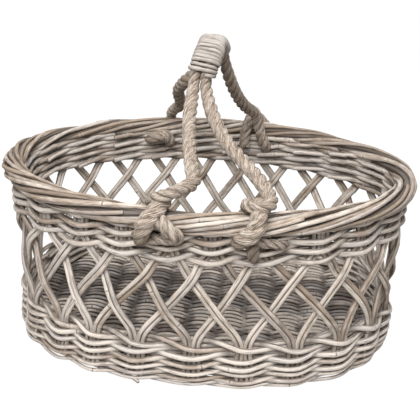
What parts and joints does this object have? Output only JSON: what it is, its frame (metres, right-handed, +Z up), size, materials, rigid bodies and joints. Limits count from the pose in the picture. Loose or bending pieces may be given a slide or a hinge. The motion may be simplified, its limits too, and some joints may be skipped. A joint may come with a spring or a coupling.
{
  "type": "picnic basket",
  "caption": "Open oval rattan picnic basket with woven bands, an open lattice of crossing cane pairs, a rolled border and a rope handle with a wound grip.",
  "frame": {"origin": "under the middle of the whole basket's box, on the surface that the basket stands on", "axes": "+X along the length, to the right as seen from the front; -Y to the front; +Z up"},
  "size_m": [0.4978, 0.3798, 0.3669],
  "materials": {
    "base_cane": "matt grey-washed rattan",
    "band_cane": "matt grey-washed rattan",
    "stake_cane": "matt grey-washed rattan",
    "border_cane": "matt grey-washed rattan",
    "rope_fibre": "coarse natural fibre",
    "winding_core": "satin rattan core"
  },
  "bodies": {
    "basket": {"base_mat": "base_cane", "lower_band": "band_cane", "upper_band": "band_cane", "border": "border_cane", "stakes_right_01": "stake_cane", "stakes_left_01": "stake_cane", "stakes_right_02": "stake_cane", "stakes_left_02": "stake_cane", "stakes_right_03": "stake_cane", "stakes_left_03": "stake_cane", "stakes_right_04": "stake_cane", "stakes_left_04": "stake_cane", "stakes_right_05": "stake_cane", "stakes_left_05": "stake_cane", "stakes_right_06": "stake_cane", "stakes_left_06": "stake_cane", "stakes_right_07": "stake_cane", "stakes_left_07": "stake_cane", "stakes_right_08": "stake_cane", "stakes_left_08": "stake_cane", "stakes_right_09": "stake_cane", "stakes_left_09": "stake_cane", "stakes_right_10": "stake_cane", "stakes_left_10": "stake_cane", "stakes_right_11": "stake_cane", "stakes_left_11": "stake_cane", "stakes_right_12": "stake_cane", "stakes_left_12": "stake_cane", "stakes_right_13": "stake_cane", "stakes_left_13": "stake_cane", "stakes_right_14": "stake_cane", "stakes_left_14": "stake_cane", "stakes_right_15": "stake_cane", "stakes_left_15": "stake_cane", "stakes_right_16": "stake_cane", "stakes_left_16": "stake_cane", "stakes_right_17": "stake_cane", "stakes_left_17": "stake_cane", "stakes_right_18": "stake_cane", "stakes_left_18": "stake_cane", "stakes_right_19": "stake_cane", "stakes_left_19": "stake_cane", "stakes_right_20": "stake_cane", "stakes_left_20": "stake_cane", "stakes_right_21": "stake_cane", "stakes_left_21": "stake_cane", "stakes_right_22": "stake_cane", "stakes_left_22": "stake_cane", "stakes_right_23": "stake_cane", "stakes_left_23": "stake_cane", "knot_front_left": "rope_fibre", "knot_front_right": "rope_fibre", "knot_back_left": "rope_fibre", "knot_back_right": "rope_fibre"},
    "handle": {"grip_winding": "winding_core", "rope_left": "rope_fibre", "rope_right": "rope_fibre"}
  },
  "joints": [
    {"name": "handle_sway", "type": "hinge", "parent": "basket", "child": "handle", "pos_m": [0, 0, 0.2452], "axis": [0, 1, 0], "range_deg": [-15, 15], "stiffness_Nm_per_rad": 1.2, "deforming": ["rope_left", "rope_right"]}
  ]
}
